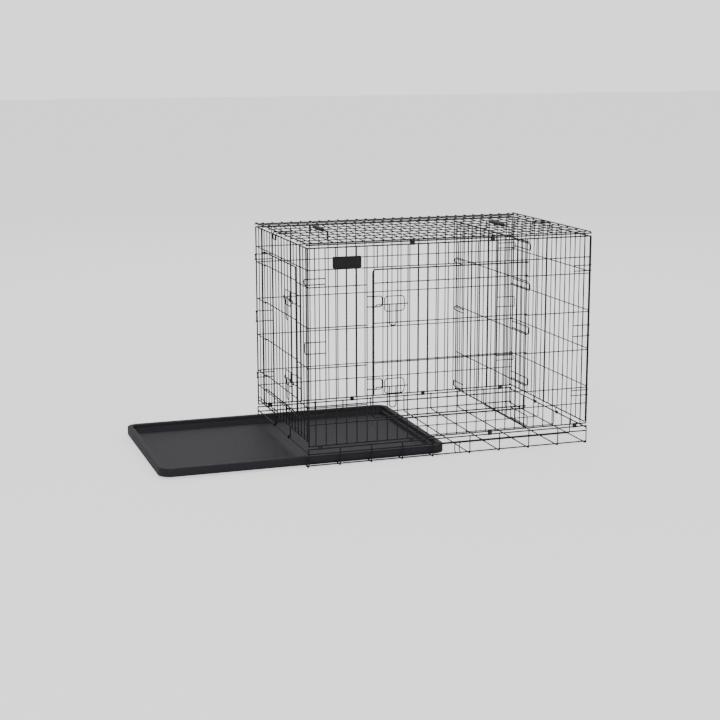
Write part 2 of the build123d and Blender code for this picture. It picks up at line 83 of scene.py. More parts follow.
DIVIDER_X, DIVIDER_EDGE = 290.0, 333.5
DIVIDER_ROWS = (232.0, 421.0, 614.0)
DIVIDER_BOTTOM_Z, DIVIDER_TOP_Z = 81.0, 757.0
FRONT_HOOKS = ((87, 124), (237, 262), (426, 450), (584, 608), (729, 752))
BACK_HOOKS = ((87, 110), (401, 415), (593, 609))
TRAY_LENGTH, TRAY_WIDTH, TRAY_X = 1040.0, 674.0, -536.0
TRAY_BOTTOM_Z, TRAY_TOP_Z, TRAY_WALL, TRAY_CORNER = 8.6, 39.0, 2.5, 45.0
HANDLE_X = (-376.0, 300.8)
HANDLE_Y = ((-68.5, 143.0), (-143.0, 68.5))
HANDLE_Z = LID_FACE + 8.6
HANDLE_R, HANDLE_LIFT, GRIP_LENGTH = 2.2, 18.0, 118.0
CRIMP_WALL, CRIMP_HALF = 1.1, 8.0
CRIMP_X, CRIMP_Y, CRIMP_CORNER_Y = (-187.0, 187.0), (-175.0, 81.0), (-332.0, 332.0)
FLOOR_BEND = 8.0
LOOP_U, LOOP_BOW, LOOP_BEND = (17.0, 35.0), 5.0, 14.0
CLIP_HALF, CLIP_WALL = 7.0, 1.0
KEEPER_U, LID_HOOK_U = 469.0, 468.0
LID_HOOK_W, LID_HOOK_DROP = (20.0, 60.0), 25.0
LID_BAR_PITCH, LID_OVERHANG = 74.5, 3.0
BOLT_LIFT = 3.3
BOLT_HANDLE_U, BOLT_HANDLE_DROP = (57.0, 81.0), 74.0
PLATE_LOW, PLATE_HIGH, PLATE_LENGTH = 697.3, 738.6, 104.0
TRAY_FOOT, TRAY_STEP = 34.0, 20.0
TRAY_LEDGE, TRAY_SKIRT = 17.4, 0.6

# ---- studio values, in metres, degrees and watts --------------------------------------
CAMERA_PLACE = (-1.9797, -5.2643, 1.4349)
CAMERA_ANGLES = (-18.3814, 11.5839, -0.1356)
CAMERA_LENS = 76.1
LIGHT_SIZE, LIGHT_AIM = 4.0, (0.0, 0.0, 0.35)
LIGHTS = (("key", (-3.5, -4.0, 5.0), 120.0), ("fill", (4.5, -3.0, 4.0), 50.0),
          ("rim", (1.0, 4.5, 4.5), 60.0))
ROOM_LIGHT, BACKDROP_SEEN, FLOOR_GLOW = 0.4, 1.6, 1.0
FLOOR_X, FLOOR_DEEP, FLOOR_DROP = 30.0, 40.0, 0.0002


# ---- wall coordinates: u along, v outwards, w up --------------------------------------
def FRONT(u, v, w):
    return Vector((u, -v, w))


def BACK(u, v, w):
    return Vector((u, v, w))


def LEFT(u, v, w):
    return Vector((-v, u, w))


def RIGHT(u, v, w):
    return Vector((v, u, w))


def LID(u, v, w):
    return Vector((u, w, v))


# ---- mesh building --------------------------------------------------------------------
class Shape:
    """Vertices and faces of one piece, gathered in millimetres."""

    def __init__(self):
        self.verts = []
        self.faces = []
        self.runs = []

    def rings(self, rings, cap=True):
        base = len(self.verts)
        count = len(rings[0])
        for ring in rings:
            self.verts.extend(ring)
        for i in range(len(rings) - 1):
            low = base + i * count
            for j in range(count):
                k = (j + 1) % count
                self.faces.append((low + j, low + k, low + count + k, low + count + j))
        if cap:
            self.faces.append(tuple(range(base + count - 1, base - 1, -1)))
            last = base + (len(rings) - 1) * count
            self.faces.append(tuple(range(last, last + count)))

    def tube(self, points, radius, sides=SIDES):
        """A round wire along points, with its cut ends lightly broken."""
        points = [Vector(p) for p in points]
        if len(points) == 2:
            self.runs.append((points[0], points[1], radius))
        tangents = []
        for i in range(len(points)):
            before = points[max(i - 1, 0)]
            after = points[min(i + 1, len(points) - 1)]
            if 0 < i < len(points) - 1:
                tangents.append(((points[i] - before).normalized()
                                 + (after - points[i]).normalized()).normalized())
            else:
                tangents.append((after - before).normalized())
        normal = tangents[0].orthogonal()
        for axis in (Vector((0, 0, 1)), Vector((0, 1, 0)), Vector((1, 0, 0))):
            if abs(tangents[0].dot(axis)) < 0.2:
                normal = axis - tangents[0] * axis.dot(tangents[0])
                break
        normal.normalize()
        chamfer = min(0.35, radius * 0.2)
        rings = []
        for i, (point, tangent) in enumerate(zip(points, tangents)):
            if i:
                turn = tangents[i - 1].rotation_difference(tangent)
                normal = turn @ normal
                normal = (normal - tangent * normal.dot(tangent)).normalized()
            other = tangent.cross(normal)
            spokes = [normal * math.cos(2 * math.pi * k / sides)
                      + other * math.sin(2 * math.pi * k / sides) for k in range(sides)]
            if i == 0:
                rings.append([point + s * (radius - chamfer) for s in spokes])
                rings.append([point + tangent * chamfer + s * radius for s in spokes])
            elif i == len(points) - 1:
                rings.append([point - tangent * chamfer + s * radius for s in spokes])
                rings.append([point + s * (radius - chamfer) for s in spokes])
            else:
                rings.append([point + s * radius for s in spokes])
        self.rings(rings)

    def nugget(self, centre, normal, along, across, size):
        """A resistance-weld bead squeezed out between two crossing wires."""
        levels = ((-0.5, 0.8), (0.0, 1.0), (0.5, 0.8))
        count = 8
        rings = []
        for level, grow in levels:
            ring = []
            for k in range(count):
                angle = 2 * math.pi * k / count
                ring.append(centre + normal * (level * size * 0.9)
                            + along * (math.cos(angle) * size * grow)
                            + across * (math.sin(angle) * size * grow))
            rings.append(ring)
        self.rings(rings)


def corner_path(points, bend, step=12):
    """The points with each corner rounded to its arc; bend is one radius, or one a corner."""
    path = [points[0]]
    bends = bend if isinstance(bend, tuple) else (bend,) * (len(points) - 2)
    for before, corner, after, radius in zip(points, points[1:], points[2:], bends):
        arriving = (corner - before).normalized()
        leaving = (after - corner).normalized()
        angle = arriving.angle(leaving)
        reach = radius * math.tan(angle / 2)
        centre = corner + (leaving - arriving).normalized() * (radius / math.cos(angle / 2))
        first = corner - arriving * reach - centre
        side = arriving * radius
        count = max(3, int(math.degrees(angle) / step))
        for k in range(count + 1):
            turn = angle * k / count
            path.append(centre + first * math.cos(turn) + side * math.sin(turn))
    path.append(points[-1])
    return path


def eye_path(centre, spoke, side, turn, step=18):
    """An open eye bent round centre, from spoke towards side, through turn degrees."""
    count = int(turn / step)
    return [centre + spoke * math.cos(math.radians(turn * k / count))
            + side * math.sin(math.radians(turn * k / count)) for k in range(count + 1)]


def upright(shape, place, u, v, low, high, radius):
    """A straight wire that runs up a wall."""
    shape.tube([place(u, v, low), place(u, v, high)], radius)


def crossbar(shape, place, start, end, v, w, radius):
    """A straight wire that runs along a wall."""
    shape.tube([place(start, v, w), place(end, v, w)], radius)


def long_wires():
    """Where the grid wires of the front, back and lid stand along the crate."""
    return [LONG_PITCH * (k - (LONG_COUNT - 1) / 2) for k in range(LONG_COUNT)]


def end_wires(edge):
    """Where the wires of an end panel stand, edge wires included."""
    return [-edge + 2 * edge / END_BAYS * k for k in range(END_BAYS + 1)]


def weld(shape):
    """Adds a bead wherever two straight runs of the shape touch."""
    runs = shape.runs
    for i, (a0, a1, ra) in enumerate(runs):
        along = (a1 - a0).normalized()
        length_a = (a1 - a0).length
        for b0, b1, rb in runs[i + 1:]:
            across = (b1 - b0).normalized()
            normal = along.cross(across)
            if normal.length < 0.5:
                continue
            normal.normalize()
            gap = (b0 - a0).dot(normal)
            if abs(abs(gap) - ra - rb) > 0.05:
                continue
            offset = b0 - a0
            flat = offset - normal * gap
            t = flat.dot(along) - flat.dot(across) * along.dot(across)
            s = (along * t - flat).dot(across)
            if not (0.4 < t < length_a - 0.4 and 0.4 < s < (b1 - b0).length - 0.4):
                continue
            centre = a0 + along * t + normal * math.copysign(ra, gap)
            shape.nugget(centre, normal, along, across, 0.62 * min(ra, rb) + 0.35)


def rounded_ring(length, width, corner, z, cx=0.0, cy=0.0, count=10):
    """A rounded rectangle at height z."""
    corner = max(corner, 0.5)
    ring = []
    for quarter, (sx, sy) in enumerate(((1, 1), (-1, 1), (-1, -1), (1, -1))):
        ox = cx + sx * (length / 2 - corner)
        oy = cy + sy * (width / 2 - corner)
        for k in range(count + 1):
            angle = math.pi / 2 * (quarter + k / count)
            ring.append(Vector((ox + corner * math.cos(angle), oy + corner * math.sin(angle), z)))
    return ring


# ---- materials ------------------------------------------------------------------------
def coat(name, color, rough, spread, bump, bump_scale, grain=0.0, grain_scale=900.0, wear=0.0,
         cloud_scale=14.0):
    """A coated or moulded surface: uneven gloss, a fine relief and worn high spots."""
    mat = bpy.data.materials.new(name)
    mat.use_nodes = True
    nodes = mat.node_tree.nodes
    links = mat.node_tree.links
    shader = nodes["Principled BSDF"]
    coords = nodes.new("ShaderNodeTexCoord")
    cloud = nodes.new("ShaderNodeTexNoise")
    cloud.inputs["Scale"].default_value = cloud_scale
    cloud.inputs["Detail"].default_value = 5.0
    links.new(coords.outputs["Object"], cloud.inputs["Vector"])
    ramp = nodes.new("ShaderNodeMapRange")
    ramp.inputs["From Min"].default_value = 0.3
    ramp.inputs["From Max"].default_value = 0.7
    ramp.inputs["To Min"].default_value = rough - spread
    ramp.inputs["To Max"].default_value = rough + spread
    links.new(cloud.outputs["Fac"], ramp.inputs["Value"])
    links.new(ramp.outputs["Result"], shader.inputs["Roughness"])
    relief = nodes.new("ShaderNodeTexNoise")
    relief.inputs["Scale"].default_value = bump_scale
    relief.inputs["Detail"].default_value = 3.0
    links.new(coords.outputs["Object"], relief.inputs["Vector"])
    height = relief.outputs["Fac"]
    if grain:
        pebble = nodes.new("ShaderNodeTexVoronoi")
        pebble.inputs["Scale"].default_value = grain_scale
        links.new(coords.outputs["Object"], pebble.inputs["Vector"])
        mix = nodes.new("ShaderNodeMath")
        mix.operation = "MULTIPLY_ADD"
        mix.inputs[1].default_value = grain
        links.new(pebble.outputs["Distance"], mix.inputs[0])
        links.new(height, mix.inputs[2])
        height = mix.outputs["Value"]
    dent = nodes.new("ShaderNodeBump")
    dent.inputs["Strength"].default_value = bump
    dent.inputs["Distance"].default_value = 0.0004
    links.new(height, dent.inputs["Height"])
    links.new(dent.outputs["Normal"], shader.inputs["Normal"])
    tone = nodes.new("ShaderNodeMix")
    tone.data_type = "RGBA"
    tone.inputs[6].default_value = (*[c * 0.82 for c in color], 1)
    tone.inputs[7].default_value = (*[c * 1.22 + wear for c in color], 1)
    links.new(cloud.outputs["Fac"], tone.inputs[0])
    links.new(tone.outputs[2], shader.inputs["Base Color"])
    return mat


MATERIALS = {
    "wire_steel": coat("coated_wire", (0.004, 0.004, 0.005), 0.36, 0.07, 0.25, 700.0, wear=0.001),
    "clip_steel": coat("coated_clip", (0.016, 0.016, 0.017), 0.42, 0.07, 0.3, 500.0, wear=0.004),
    "tray_plastic": coat("tray_pebble", (0.0165, 0.0150, 0.0235), 0.56, 0.06, 0.9, 260.0,
                         grain=1.5, grain_scale=300.0, wear=0.006, cloud_scale=190.0),
    "plate_plastic": coat("plate_plastic", (0.010, 0.010, 0.011), 0.38, 0.05, 0.25, 420.0),
    "grip_plastic": coat("grip_plastic", (0.012, 0.012, 0.013), 0.55, 0.07, 0.5, 420.0,
                         grain=0.7, grain_scale=700.0),
}


def finish_piece(node, shape, smooth_angle=40.0):
    """Turns a shape into the piece that stands for a CAD node."""
    mesh = bpy.data.meshes.new("v_" + node)
    mesh.from_pydata([tuple(v * MM) for v in shape.verts], [], shape.faces)
    mesh.update()
    bm = bmesh.new()
    bm.from_mesh(mesh)
    bmesh.ops.recalc_face_normals(bm, faces=bm.faces)
    limit = math.radians(smooth_angle)
    for face in bm.faces:
        face.smooth = True
    for edge in bm.edges:
        if len(edge.link_faces) == 2 and edge.calc_face_angle(0.0) > limit:
            edge.smooth = False
    bm.to_mesh(mesh)
    bm.free()
    mesh.materials.append(MATERIALS[SLOT[node]])
    piece = bpy.data.objects.new("v_" + node, mesh)
    bpy.context.scene.collection.objects.link(piece)
    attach(piece, BODY[node])
    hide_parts(node)
    return piece


# ---- floor basket ---------------------------------------------------------------------
def floor_basket():
    shape = Shape()
    corner = FRAME_R + BASKET_R
    for x in (-END_RING_X, *BASKET_X, END_RING_X):
        crossbar(shape, RIGHT, -RING_V, RING_V, x, BASKET_R, BASKET_R)
        for side in (-1, 1):
            path = []
            for k in range(7):
                angle = math.pi / 2 * k / 6
                path.append(Vector((x, side * (RING_V + corner * math.sin(angle)),
                                    BASKET_R + corner * (1 - math.cos(angle)))))
            top = Vector((x, side * (RING_V + corner), RIM_Z + FRAME_R))
            shape.tube(path + [top], BASKET_R)
            shape.runs.append((path[-1], top, BASKET_R))
    reach = END_RING_X + FRAME_R
    for place in (FRONT, BACK):
        for w in (BOTTOM_RING_Z, MID_RING_Z, RIM_Z):
            crossbar(shape, place, -reach, reach, RING_V, w, FRAME_R)
    for place, w in ((LEFT, LEFT_RING_Z), (RIGHT, RIGHT_RING_Z)):
        crossbar(shape, place, -SIDE_FACE, SIDE_FACE, END_RING_X, w, FRAME_R)
    z = CROSS_TOP + MESH_R
    for y in FLOOR_Y:
        start = Vector((-END_RING_X, y, z))
        turn = Vector((END_RING_X - FLOOR_BEND, y, z))
        corner_point = Vector((END_RING_X, y, z))
        top = Vector((END_RING_X, y, RIGHT_RING_Z - FRAME_R))
        shape.tube(corner_path([start, corner_point, top], FLOOR_BEND), MESH_R)
        shape.runs.append((start, turn, MESH_R))
    weld(shape)
    finish_piece("floor_basket", shape)


def floor_crimps():
    """Sheet saddles pinched over the basket's cross wires."""
    shape = Shape()
    outer = BASKET_R + CRIMP_WALL
    places = [(x, y) for x in CRIMP_X for y in CRIMP_Y]
    places += [(x, y) for x in (-END_RING_X, END_RING_X) for y in CRIMP_CORNER_Y]
    for x, y in places:
        profile = []
        for k in range(13):
            angle = math.pi * k / 12
            profile.append((outer * math.cos(angle), BASKET_R + outer * math.sin(angle)))
        profile.append((-outer + 0.1, 0.25))
        profile.append((-outer + 0.6, 0.05))
        profile.append((-BASKET_R - 0.05, 0.3))
        for k in range(12, -1, -1):
            angle = math.pi * k / 12
            profile.append(((BASKET_R + 0.02) * math.cos(angle),
                            BASKET_R + (BASKET_R + 0.02) * math.sin(angle)))
        profile.append((BASKET_R + 0.05, 0.3))
        profile.append((outer - 0.6, 0.05))
        profile.append((outer - 0.1, 0.25))
        rings = []
        for along in (-CRIMP_HALF, 0.4 - CRIMP_HALF, -2.0, -1.2, 1.2, 2.0, CRIMP_HALF - 0.4, CRIMP_HALF):
            pinch = 0.35 if abs(along) < 1.5 else 0.0
            ring = []
            for px, pz in profile:
                away = Vector((px, 0, pz - BASKET_R))
                trim = 0.2 if abs(along) == CRIMP_HALF else pinch
                if away.length > BASKET_R + 0.6:
                    away = away.normalized() * (away.length - trim)
                ring.append(Vector((x + away.x, y + along, BASKET_R + away.z)))
            rings.append(ring)
        shape.rings(rings)
    finish_piece("floor_crimps", shape)


def centre_loop():
    """The two bowed wires in the middle of the basket's front."""
    shape = Shape()
    v = RING_V + FRAME_R + MESH_R
    for u in LOOP_U:
        bowed = u - LOOP_BOW
        points = [FRONT(u, v, MID_RING_Z + 1), FRONT(bowed, v, MID_RING_Z - 11),
                  FRONT(bowed, v, BOTTOM_RING_Z + 11), FRONT(u, v, BOTTOM_RING_Z - 1)]
        shape.tube(corner_path(points, LOOP_BEND, 6), MESH_R)
    finish_piece("tray_finger_loop", shape)


def clip_bands(node, place, spots, low, high):
    """Sheet bands closed round two wires, with their rims broken."""
    shape = Shape()
    inner = FRAME_R + CLEAR
    outer = inner + CLIP_WALL
    for u in spots:
        outline = []
        for end, base in ((high, 0.0), (low, math.pi)):
            for k in range(11):
                angle = base + math.pi * k / 10
                outline.append((math.cos(angle), math.sin(angle), end))
        rings_out = []
        rings_in = []
        for along, lift in ((-CLIP_HALF, 0.25), (0.25 - CLIP_HALF, 0.0), (-1.0, 0.0), (1.0, 0.0),
                            (CLIP_HALF - 0.25, 0.0), (CLIP_HALF, 0.25)):
            out = outer - lift
            rings_out.append([place(u + along, RING_V + out * c, end + out * s)
                              for c, s, end in outline])
            rings_in.append([place(u + along, RING_V + (inner + lift * 0.3) * c,
                                   end + (inner + lift * 0.3) * s) for c, s, end in outline])
        band = rings_out + rings_in[::-1] + [rings_out[0]]
        shape.rings(band, cap=False)
    finish_piece(node, shape)


# ---- walls ----------------------------------------------------------------------------
def grid_uprights(shape, place, face, places, edges, low, high, opening):
    for u in places:
        if opening is not None and opening[0] < u < opening[1]:
            upright(shape, place, u, face + MESH_R, low, DOOR_BOTTOM_Z + MESH_R, MESH_R)
            upright(shape, place, u, face + MESH_R, DOOR_TOP_Z - MESH_R, high, MESH_R)
        else:
            upright(shape, place, u, face + MESH_R, low, high, MESH_R)
    for u in edges:
        upright(shape, place, u, face + FRAME_R, low, high, FRAME_R)


def grid_rows(shape, place, face, half, rows, opening):
    v = face - MESH_R
    for w in rows:
        if opening is None:
            crossbar(shape, place, -half, half, v, w, MESH_R)
        else:
            crossbar(shape, place, -half, opening[0] + MESH_R, v, w, MESH_R)
            crossbar(shape, place, opening[1] - MESH_R, half, v, w, MESH_R)


def long_wall(node, place, opening):
    shape = Shape()
    grid_uprights(shape, place, SIDE_FACE, long_wires(), (-END_FACE, END_FACE), SIDE_HINGE_Z,
                  SIDE_TOP_Z, opening)
    half = END_FACE + FRAME_R
    for w in (SIDE_HINGE_Z, SIDE_TOP_Z):
        crossbar(shape, place, -half, half, RING_V, w, FRAME_R)
    grid_rows(shape, place, SIDE_FACE, half, (DOOR_BOTTOM_Z, DOOR_TOP_Z), None)
    grid_rows(shape, place, SIDE_FACE, half, SPLIT_ROWS, opening)
    weld(shape)
    finish_piece(node, shape)


def corner_keepers(node, place):
    shape = Shape()
    v = SIDE_FACE - MESH_R
    tip_u = END_FACE + 2 * FRAME_R + CLEAR + MESH_R
    tip_v = END_EDGE - 2 * FRAME_R - 2.0
    for side in (-1, 1):
        for low, high in KEEPER_Z:
            points = [place(side * KEEPER_U, v, low), place(side * tip_u, v, low),
                      place(side * tip_u, tip_v, low), place(side * tip_u, tip_v, high),
                      place(side * tip_u, v, high), place(side * KEEPER_U, v, high)]
            shape.tube(corner_path(points, (4.0, 8.0, 8.0, 4.0)), MESH_R)
    finish_piece(node, shape)


def end_wall(node, place, bottom, rows, split, opening):
    shape = Shape()
    places = end_wires(END_EDGE)
    grid_uprights(shape, place, END_FACE, places[1:-1], (places[0], places[-1]), bottom,
                  END_TOP_Z + FRAME_R, opening)
    half = END_EDGE + FRAME_R
    for w in (bottom, END_TOP_Z):
        crossbar(shape, place, -half, half, END_FACE - FRAME_R, w, FRAME_R)
    grid_rows(shape, place, END_FACE, half, rows, None)
    grid_rows(shape, place, END_FACE, half, split, opening)
    weld(shape)
    finish_piece(node, shape)


def end_hinge_legs(node, place, ring_z, bottom):
    shape = Shape()
    leg_v = END_FACE - FRAME_R
    for u in (-END_LEG_Y, END_LEG_Y):
        centre = place(u, END_RING_X, ring_z)
        spoke = place(u, leg_v, ring_z) - centre
        down = Vector((0, 0, -HINGE_LEG_R))
        path = [place(u, leg_v, bottom - FRAME_R)] + eye_path(centre, spoke, down, 310.0)
        shape.tube(path, LEG_R)
    finish_piece(node, shape)


# ---- doors ----------------------------------------------------------------------------
def door(node, place, face, free, hinge, uprights):
    shape = Shape()
    top = DOOR_TOP_Z - DOOR_INSET
    bottom = DOOR_BOTTOM_Z + DOOR_INSET
    frame_v = face - EYE_CLEAR - FRAME_R
    along = place(hinge + 1, face, 0) - place(hinge, face, 0)
    reach = MESH_R + EYE_CLEAR + FRAME_R
    v = face + MESH_R - reach
    for w, up in ((top, -1), (bottom, 1)):
        centre = place(hinge, face + MESH_R, w)
        spoke = place(hinge, v, w) - centre
        corner = corner_path([place(free, v, w + up * DOOR_CORNER), place(free, v, w),
                              place(hinge, v, w)], DOOR_CORNER)[1:-1]
        shape.tube(corner + eye_path(centre, spoke, along * reach, 300.0), FRAME_R)
        shape.runs.append((place(free + DOOR_CORNER, v, w), place(hinge, v, w), FRAME_R))
    upright(shape, place, free, frame_v, bottom + DOOR_CORNER, top - DOOR_CORNER, FRAME_R)
    reach = 2 * MESH_R + EYE_CLEAR
    v = face + MESH_R - reach
    for row in SPLIT_ROWS:
        w = row + DOOR_RISE
        centre = place(hinge, face + MESH_R, w)
        spoke = place(hinge, v, w) - centre
        start = place(free + FRAME_R, v, w)
        shape.tube([start] + eye_path(centre, spoke, along * reach, 300.0), MESH_R)
        shape.runs.append((start, place(hinge, v, w), MESH_R))
    for u in uprights:
        upright(shape, place, u, face - EYE_CLEAR + MESH_R, bottom - FRAME_R, top + FRAME_R, MESH_R)
    weld(shape)
    finish_piece(node, shape)


def guide_loops(node, place, skin, free):
    shape = Shape()
    for z in LATCH_Z:
        v = skin + GUIDE_R
        crimp_v = skin + BOLT_LIFT + ROD_R + CLEAR + GUIDE_R
        near, far, low, high = free + 40, free + 113, z - 25, z + 28
        middle = (near + far) / 2

        def side(u, step):
            return [place(u, v, z - 9 * step), place(u, crimp_v, z - 3 * step),
                    place(u, crimp_v, z + 3 * step), place(u, v, z + 9 * step)]

        points = [place(middle + 0.1, v, low), place(far, v, low), *side(far, 1),
                  place(far, v, high), place(near, v, high), *side(near, -1),
                  place(near, v, low), place(middle - 0.1, v, low)]
        crimp = (2.2,) * 4
        shape.tube(corner_path(points, (12.0, *crimp, 12.0, 12.0, *crimp, 12.0)), GUIDE_R)
    finish_piece(node, shape)


def catch_loops(node, place, face, skin, free, start):
    shape = Shape()
    base_v = face + 3 * MESH_R
    out_v = skin + BOLT_LIFT + ROD_R + CLEAR + MESH_R
    for z in LATCH_Z:
        line = [(start, base_v), (free - 14, base_v), (free - 4, out_v), (free + 30, out_v)]
        points = [place(u, v, z + 31) for u, v in line]
        points += [place(u, v, z - 6) for u, v in reversed(line)]
        shape.tube(corner_path(points, (4.0, 4.0, 10.0, 10.0, 4.0, 4.0)), MESH_R)
    finish_piece(node, shape)


def bolt(node, place, skin, free, z):
    shape = Shape()
    v = skin + BOLT_LIFT
    handle_v = v + ROD_R + MESH_R
    shape.tube(corner_path([place(free + 8, v, z - 9), place(free + 8, v, z),
                            place(free + 128, v, z)], 4.0), ROD_R)
    legs = [free + u for u in BOLT_HANDLE_U]
    low, high = z - BOLT_HANDLE_DROP, z + 1.5
    points = [place(legs[0], handle_v, high), place(legs[0], handle_v, low),
              place(legs[1], handle_v, low), place(legs[1], handle_v, high)]
    shape.tube(corner_path(points, 10.0), MESH_R)
    along = place(1, 0, 0) - place(0, 0, 0)
    out = place(0, 1, 0) - place(0, 0, 0)
    for u in legs:
        shape.nugget(place(u, v + ROD_R, z), out, along, Vector((0, 0, 1)), 1.3)
    finish_piece(node, shape)


# ---- lid ------------------------------------------------------------------------------
def lid():
    shape = Shape()
    half = END_FACE + 2 * FRAME_R
    for w in (-RING_V, RING_V):
        crossbar(shape, LID, -half, half, LID_HINGE_Z, w, FRAME_R)
    for k in range(-4, 5):
        crossbar(shape, LID, -half, half, LID_FACE - MESH_R, LID_BAR_PITCH * k, MESH_R)
    for u in long_wires():
        upright(shape, LID, u, LID_FACE + MESH_R, -RING_V, RING_V + LID_OVERHANG, MESH_R)
    for u in (-END_FACE, END_FACE):
        upright(shape, LID, u, LID_FACE + FRAME_R, -RING_V, RING_V + LID_OVERHANG, FRAME_R)
    weld(shape)
    finish_piece("lid_panel", shape)


def lid_hooks():
    shape = Shape()
    v = LID_FACE - MESH_R
    out = END_FACE + 2 * FRAME_R + 4.0
    near, far = LID_HOOK_W
    low = v - LID_HOOK_DROP
    for side in (-1, 1):
        foot, tip = side * LID_HOOK_U, side * out
        points = [LID(foot, v, near), LID(tip, v, near), LID(tip, low, near),
                  LID(tip, low, far), LID(tip, v, far), LID(foot, v, far)]
        shape.tube(corner_path(points, (4.0, 9.0, 9.0, 4.0)), MESH_R)
    finish_piece("lid_end_hooks", shape)


def handle(side, x, low_y, high_y):
    shape = Shape()
    foot_z = LID_FACE - 2 * MESH_R - 0.4 - HANDLE_R - HANDLE_LIFT
    points = [Vector((x, low_y - 14, foot_z)), Vector((x, low_y, foot_z)),
              Vector((x, low_y, HANDLE_Z)), Vector((x, high_y, HANDLE_Z)),
              Vector((x, high_y, foot_z)), Vector((x, high_y + 14, foot_z))]
    shape.tube(corner_path(points, 6.0, 8), HANDLE_R)
    finish_piece(side + "_handle_wire", shape)
    grip = Shape()
    middle = (low_y + high_y) / 2
    half = GRIP_LENGTH / 2
    profile = ((-1.0, 6.0, 5.5), (-0.8, 9.0, 7.0), (0.0, 11.0, 7.8), (0.8, 9.0, 7.0),
               (1.0, 6.0, 5.5))
    rings = []
    steps = 61
    for i in range(steps):
        along = -1 + 2 * i / (steps - 1)
        wide = np.interp(along, [p[0] for p in profile], [p[1] for p in profile])
        tall = np.interp(along, [p[0] for p in profile], [p[2] for p in profile])
        rib = 0.25 * (1 + math.cos(along * 13 * math.pi)) if abs(along) < 0.78 else 0.0
        trim = max(0.0, (abs(along) - 0.975) / 0.025) * 1.0
        ring = []
        for k in range(32):
            angle = 2 * math.pi * k / 32
            c, s = math.cos(angle), math.sin(angle)
            under = rib if s < -0.2 else rib * 0.3
            ring.append(Vector((x + (wide - 0.15 - trim - under * 0.3) * c,
                                middle + along * half,
                                HANDLE_Z + (tall - 0.1 - trim - under) * s)))
        rings.append(ring)
    grip.rings(rings)
    finish_piece(side + "_handle_grip", grip, 50.0)


# ---- divider --------------------------------------------------------------------------
def divider():
    shape = Shape()
    places = end_wires(DIVIDER_EDGE)
    low = DIVIDER_BOTTOM_Z - FRAME_R
    high = DIVIDER_TOP_Z + FRAME_R
    for y in places[1:-1]:
        upright(shape, RIGHT, y, DIVIDER_X - MESH_R, low, high, MESH_R)
    for y in (places[0], places[-1]):
        upright(shape, RIGHT, y, DIVIDER_X - FRAME_R, low, high, FRAME_R)
    half = DIVIDER_EDGE + FRAME_R
    for w in (DIVIDER_BOTTOM_Z, DIVIDER_TOP_Z):
        crossbar(shape, RIGHT, -half, half, DIVIDER_X + FRAME_R, w, FRAME_R)
    for w in DIVIDER_ROWS:
        crossbar(shape, RIGHT, -half, half, DIVIDER_X + MESH_R, w, MESH_R)
    weld(shape)
    finish_piece("divider_panel", shape)


def divider_hooks(node, rows, inner, tip):
    shape = Shape()
    v = DIVIDER_X + MESH_R
    for low, high in rows:
        points = [RIGHT(inner, v, low), RIGHT(tip, v, low), RIGHT(tip, v, high),
                  RIGHT(inner, v, high)]
        shape.tube(corner_path(points, 6.5), MESH_R)
    finish_piece(node, shape)


# ---- tray and plate -------------------------------------------------------------------
def tray():
    """One skin: inside floor, stepped wall, flat rim, outer skirt and outside. Rows are (inset, z)."""
    shape = Shape()
    top, bottom, wall = TRAY_TOP_Z, TRAY_BOTTOM_Z, TRAY_WALL
    slope = math.tan(math.radians(20))
    steep = math.tan(math.radians(10))
    floor = bottom + wall
    ledge = bottom + TRAY_LEDGE
    skirt = bottom + TRAY_SKIRT
    foot = TRAY_FOOT + wall
    rows = [(60.0, floor), (foot + 3.0, floor), (foot + 0.8, floor + 0.35),
            (foot - 1.6 * slope + 0.9, floor + 1.4)]
    rows += [(foot - (z - floor) * slope, z) for z in (floor + 3.0, bottom + 9.4, ledge - 1.4)]
    rows += [(foot - (ledge - 0.6 - floor) * slope - 0.5, ledge - 0.4), (28.0, ledge),
             (24.2, ledge), (22.9, ledge + 0.3), (22.3, ledge + 1.3)]
    rows += [(TRAY_STEP + wall - (z - ledge) * steep, z) for z in (ledge + 3.0, ledge + 7.0, top - 1.6)]
    rows += [(TRAY_STEP - 0.2, top - 0.6), (19.2, top - 0.15), (18.0, top), (2.2, top),
             (0.9, top - 0.3), (0.25, top - 0.9), (0.0, top - 2.0), (0.0, skirt + 0.6),
             (0.3, skirt + 0.1), (0.9, skirt), (wall - 0.5, skirt), (wall, skirt + 0.5),
             (wall, top - 3.6), (wall + 0.9, top - wall), (18.0, top - wall)]
    under = ledge - wall
    rows += [(TRAY_STEP - (z - under) * steep, z) for z in (under + 10.5, under + 5.5, under + 0.5)]
    rows += [(20.6, under), (28.0, under)]
    rows += [(TRAY_FOOT - (z - bottom) * slope, z) for z in (under - 0.9, bottom + 7.4, bottom + 1.8)]
    rows += [(34.4, bottom + 0.4), (35.6, bottom), (60.0, bottom)]
    rings = []
    for inset, z in rows:
        rings.append(rounded_ring(TRAY_LENGTH - 2 * inset, TRAY_WIDTH - 2 * inset,
                                  max(TRAY_CORNER - inset, 6.0 + 0.12 * (60 - inset)), z, TRAY_X))
    shape.rings(rings)
    finish_piece("tray", shape, 46.0)


